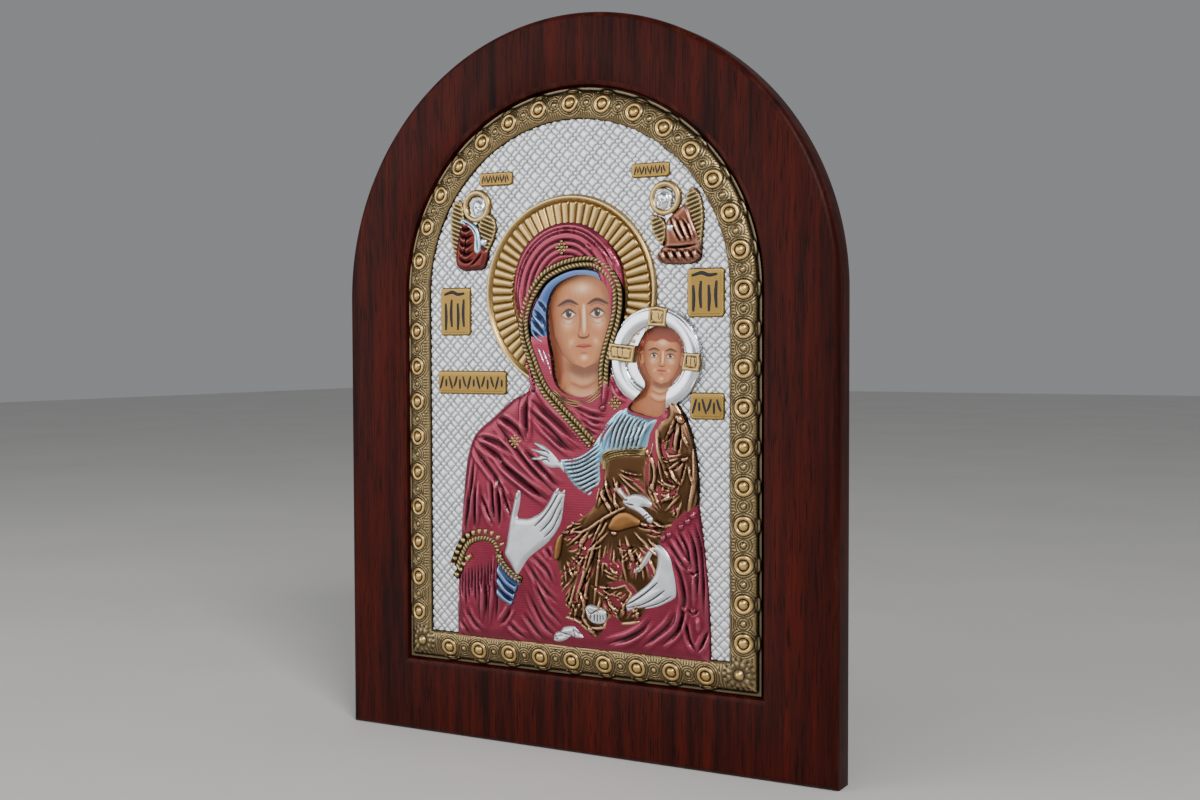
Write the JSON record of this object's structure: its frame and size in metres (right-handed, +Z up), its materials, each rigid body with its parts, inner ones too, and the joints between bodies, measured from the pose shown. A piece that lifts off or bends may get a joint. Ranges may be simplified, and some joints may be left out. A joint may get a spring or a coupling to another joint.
{
  "type": "icon panel",
  "caption": "Arched wooden panel that stands on its lower edge, with an embossed metal cover set in its front over a painted panel.",
  "frame": {"origin": "middle of the underside: centre of the bounding box in X and Y, on the surface it stands on", "axes": "+X to the viewer's right when looking at the front, +Y from the front to the back, +Z up"},
  "size_m": [0.2, 0.0154, 0.2645],
  "materials": {
    "board": "satin lacquered red-brown veneer, vertical grain",
    "painting": "matt flesh-coloured paint on a thin wooden panel",
    "cover": "embossed silvered sheet with gold, raspberry, blue and copper lacquers"
  },
  "bodies": {
    "root": {"wooden_board": "board", "painted_panel": "painting", "embossed_cover": "cover"}
  },
  "joints": []
}
